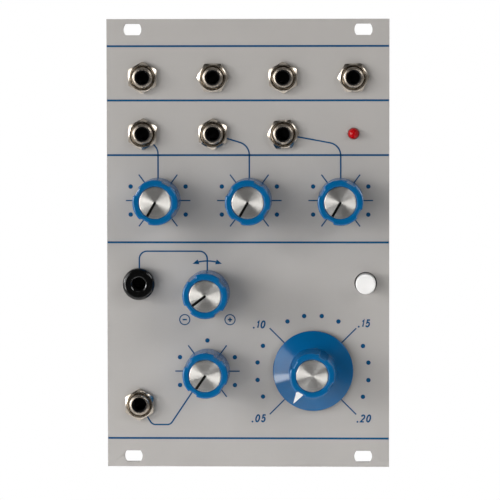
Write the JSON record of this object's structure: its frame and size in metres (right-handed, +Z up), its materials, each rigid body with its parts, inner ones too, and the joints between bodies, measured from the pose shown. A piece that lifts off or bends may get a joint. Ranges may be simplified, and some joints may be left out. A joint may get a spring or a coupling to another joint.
{
  "type": "rack delay module",
  "caption": "Rack-mounted signal delay module: flat grey panel with nickel jacks, blue dials that turn, a lamp and a push button, on two circuit boards.",
  "frame": {"origin": "centre of the four rack slots, on the back face of the panel", "axes": "X to the right seen from the front, Y from the front to the back, Z up"},
  "size_m": [0.0808, 0.0522, 0.1284],
  "materials": {
    "panel": "satin light grey coat over sheet aluminium",
    "black_housing": "moulded",
    "pot_housing": "moulded",
    "nickel": "bright nickel",
    "black_gloss": "polished black",
    "contact_metal": "tinned",
    "knob_blue": "glossy blue",
    "turned_metal": "spun in circles",
    "shaft_metal": "turned",
    "white_plastic": "smooth white",
    "spring_steel": "bright",
    "lamp_red": "clear red resin",
    "board_green": "solder mask",
    "pillar_brass": "bright",
    "connector_black": "moulded",
    "chip_black": "moulded",
    "capacitor_can": "sleeved can"
  },
  "bodies": {
    "module": {"front_panel": "panel", "out_jack_1": "black_housing", "out_jack_2": "black_housing", "out_jack_3": "black_housing", "out_jack_4": "black_housing", "in_jack_a": "black_housing", "in_jack_b": "black_housing", "in_jack_c": "black_housing", "control_jack": "black_housing", "modulation_jack": "black_housing", "switch_body": "black_housing", "pot_a": "pot_housing", "pot_b": "pot_housing", "pot_c": "pot_housing", "control_pot": "pot_housing", "modulation_pot": "pot_housing", "time_pot": "pot_housing", "jack_bushings": "nickel", "jack_nuts": "nickel", "pot_washers": "nickel", "pot_nuts": "nickel", "pot_bushings": "nickel", "ring_nut": "black_gloss", "jack_contacts": "contact_metal", "pot_pins": "contact_metal", "switch_pins": "contact_metal", "lamp_leads": "contact_metal", "switch_spring": "spring_steel", "board_screws": "spring_steel", "lamp_lens": "lamp_red", "control_board": "board_green", "main_board": "board_green", "board_pillars": "pillar_brass", "power_pins": "pillar_brass", "header_plugs": "connector_black", "header_sockets": "connector_black", "power_shroud": "connector_black", "chips": "chip_black", "capacitors": "capacitor_can"},
    "dial_a": {"knob_a": "knob_blue", "disc_a": "turned_metal", "shaft_a": "shaft_metal"},
    "dial_b": {"knob_b": "knob_blue", "disc_b": "turned_metal", "shaft_b": "shaft_metal"},
    "dial_c": {"knob_c": "knob_blue", "disc_c": "turned_metal", "shaft_c": "shaft_metal"},
    "control_dial": {"control_knob": "knob_blue", "control_disc": "turned_metal", "control_shaft": "shaft_metal"},
    "modulation_dial": {"modulation_knob": "knob_blue", "modulation_disc": "turned_metal", "modulation_shaft": "shaft_metal"},
    "time_dial": {"time_knob": "knob_blue", "time_disc": "turned_metal", "time_shaft": "shaft_metal", "time_pointer": "white_plastic"},
    "button": {"button_cap": "white_plastic", "button_plunger": "black_housing"}
  },
  "joints": [
    {"name": "dial_a_turn", "type": "hinge", "parent": "module", "child": "dial_a", "pos_m": [-0.02575, 0, 0.01235], "axis": [0, 1, 0], "range_deg": [0, 300]},
    {"name": "dial_b_turn", "type": "hinge", "parent": "module", "child": "dial_b", "pos_m": [0.0004, 0, 0.01235], "axis": [0, 1, 0], "range_deg": [0, 300]},
    {"name": "dial_c_turn", "type": "hinge", "parent": "module", "child": "dial_c", "pos_m": [0.02655, 0, 0.01235], "axis": [0, 1, 0], "range_deg": [0, 300]},
    {"name": "control_dial_turn", "type": "hinge", "parent": "module", "child": "control_dial", "pos_m": [-0.0117, 0, -0.0141], "axis": [0, 1, 0], "range_deg": [-23, 277]},
    {"name": "modulation_dial_turn", "type": "hinge", "parent": "module", "child": "modulation_dial", "pos_m": [-0.0117, 0, -0.0367], "axis": [0, 1, 0], "range_deg": [-5, 295]},
    {"name": "time_dial_turn", "type": "hinge", "parent": "module", "child": "time_dial", "pos_m": [0.01865, 0, -0.03645], "axis": [0, 1, 0], "range_deg": [-1, 299]},
    {"name": "button_push", "type": "slide", "parent": "module", "child": "button", "axis": [0, 1, 0], "range_m": [0, 0.002], "stiffness_N_per_m": 500, "springref_m": -0.001, "deforming": ["switch_spring"]}
  ]
}
